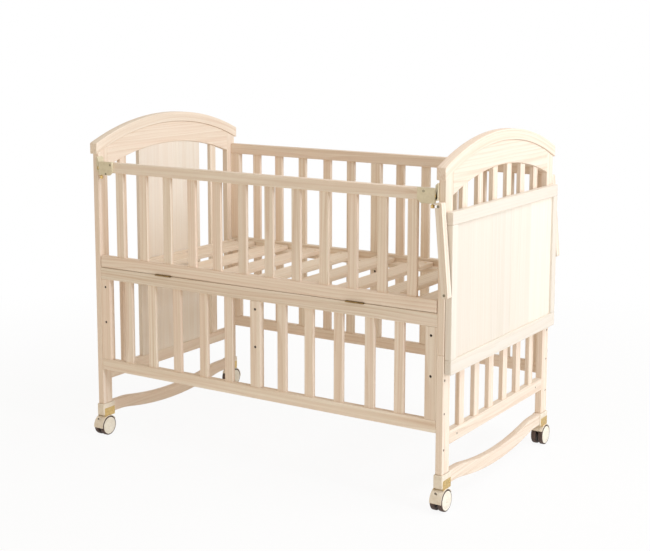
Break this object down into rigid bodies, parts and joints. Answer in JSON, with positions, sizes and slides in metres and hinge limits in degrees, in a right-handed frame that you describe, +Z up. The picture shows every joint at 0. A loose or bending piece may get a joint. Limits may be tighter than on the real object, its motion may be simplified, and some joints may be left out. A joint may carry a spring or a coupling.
{
  "type": "convertible crib",
  "caption": "Slatted pine crib with arched ends, a fold-down front gate with two latches, a fold-out end panel on stays, bow-shaped rockers and swivel casters.",
  "frame": {"origin": "on the floor, at the centre of the base of the bounding box", "axes": "+X along the length towards the end with the fold-out panel, +Y to the back, away from the drop gate, +Z up"},
  "size_m": [1.0908, 0.6538, 0.876],
  "materials": {
    "pine": "bare sanded pine, matt",
    "panel_pine": "bare sanded pine board, matt",
    "bed_pine": "bare sawn pine, matt",
    "cream_plastic": "cream, semi-gloss",
    "brass": "yellow zinc or brass, satin",
    "dark_steel": "dark plated steel",
    "tread": "dark brown tread, cream covers"
  },
  "bodies": {
    "crib": {"left_post_front": "pine", "left_post_rear": "pine", "left_slat_front": "pine", "left_slat_rear": "pine", "left_cap": "pine", "left_apron": "pine", "left_centre_board": "panel_pine", "left_lower_rail": "pine", "left_rocker": "pine", "right_lower_post_front": "pine", "right_lower_post_rear": "pine", "right_upper_post_front": "pine", "right_upper_post_rear": "pine", "right_cap": "pine", "right_apron": "pine", "right_upper_grille": "pine", "right_lower_grille": "pine", "right_rocker": "pine", "front_lower_grille": "pine", "front_lower_top_rail": "pine", "rear_grille": "pine", "rear_top_rail": "pine", "bed_rail_front": "bed_pine", "bed_rail_rear": "bed_pine", "bed_slats": "bed_pine", "gate_hinge_base_left": "dark_steel", "gate_hinge_base_right": "dark_steel", "panel_hinge_base_front": "dark_steel", "panel_hinge_base_rear": "dark_steel", "latch_strike_left": "cream_plastic", "latch_strike_right": "cream_plastic", "shoe_front_left": "cream_plastic", "shoe_rear_left": "cream_plastic", "shoe_front_right": "cream_plastic", "shoe_rear_right": "cream_plastic"},
    "gate": {"gate_top_rail": "pine", "gate_grille": "pine", "gate_hinge_leaf_left": "dark_steel", "gate_hinge_leaf_right": "dark_steel", "latch_housing_left": "cream_plastic", "latch_housing_right": "cream_plastic"},
    "panel": {"panel_top_rail": "panel_pine", "panel_bottom_rail": "panel_pine", "panel_board": "panel_pine", "panel_stile_front": "panel_pine", "panel_stile_rear": "panel_pine", "panel_hinge_leaf_front": "dark_steel", "panel_hinge_leaf_rear": "dark_steel"},
    "bolt_left": {"latch_bolt_left": "brass"},
    "bolt_right": {"latch_bolt_right": "brass"},
    "stay_front": {"stay_front": "panel_pine"},
    "stay_rear": {"stay_rear": "panel_pine"},
    "swivel_front_left": {"caster_hood_front_left": "cream_plastic"},
    "wheels_front_left": {"caster_wheels_front_left": "tread"},
    "swivel_rear_left": {"caster_hood_rear_left": "cream_plastic"},
    "wheels_rear_left": {"caster_wheels_rear_left": "tread"},
    "swivel_front_right": {"caster_hood_front_right": "cream_plastic"},
    "wheels_front_right": {"caster_wheels_front_right": "tread"},
    "swivel_rear_right": {"caster_hood_rear_right": "cream_plastic"},
    "wheels_rear_right": {"caster_wheels_rear_right": "tread"}
  },
  "joints": [
    {"name": "gate_fold", "type": "hinge", "parent": "crib", "child": "gate", "pos_m": [-0.00471, -0.3092, 0.474], "axis": [1, 0, 0], "range_deg": [0, 180]},
    {"name": "panel_fold", "type": "hinge", "parent": "crib", "child": "panel", "pos_m": [0.52764, 0, 0.3282], "axis": [0, 1, 0], "range_deg": [0, 90]},
    {"name": "bolt_slide_left", "type": "slide", "parent": "gate", "child": "bolt_left", "axis": [1, 0, 0], "range_m": [0, 0.009], "stiffness_N_per_m": 300, "springref_m": -0.004},
    {"name": "bolt_slide_right", "type": "slide", "parent": "gate", "child": "bolt_right", "axis": [-1, 0, 0], "range_m": [0, 0.009], "stiffness_N_per_m": 300, "springref_m": -0.004},
    {"name": "stay_swing_front", "type": "hinge", "parent": "panel", "child": "stay_front", "pos_m": [0.53649, -0.3154, 0.5225], "axis": [0, 1, 0], "range_deg": [0, 170]},
    {"name": "stay_swing_rear", "type": "hinge", "parent": "panel", "child": "stay_rear", "pos_m": [0.53649, 0.3154, 0.5225], "axis": [0, 1, 0], "range_deg": [0, 170]},
    {"name": "swivel_front_left", "type": "hinge", "parent": "crib", "child": "swivel_front_left", "pos_m": [-0.52771, -0.283, 0.06], "axis": [0, 0, 1], "continuous": true},
    {"name": "roll_front_left", "type": "hinge", "parent": "swivel_front_left", "child": "wheels_front_left", "pos_m": [-0.52771, -0.291, 0.0265], "axis": [1, 0, 0], "continuous": true},
    {"name": "swivel_rear_left", "type": "hinge", "parent": "crib", "child": "swivel_rear_left", "pos_m": [-0.52771, 0.283, 0.06], "axis": [0, 0, 1], "continuous": true},
    {"name": "roll_rear_left", "type": "hinge", "parent": "swivel_rear_left", "child": "wheels_rear_left", "pos_m": [-0.52771, 0.291, 0.0265], "axis": [1, 0, 0], "continuous": true},
    {"name": "swivel_front_right", "type": "hinge", "parent": "crib", "child": "swivel_front_right", "pos_m": [0.51829, -0.283, 0.06], "axis": [0, 0, 1], "continuous": true},
    {"name": "roll_front_right", "type": "hinge", "parent": "swivel_front_right", "child": "wheels_front_right", "pos_m": [0.51829, -0.291, 0.0265], "axis": [1, 0, 0], "continuous": true},
    {"name": "swivel_rear_right", "type": "hinge", "parent": "crib", "child": "swivel_rear_right", "pos_m": [0.51829, 0.283, 0.06], "axis": [0, 0, 1], "continuous": true},
    {"name": "roll_rear_right", "type": "hinge", "parent": "swivel_rear_right", "child": "wheels_rear_right", "pos_m": [0.51829, 0.291, 0.0265], "axis": [1, 0, 0], "continuous": true}
  ]
}
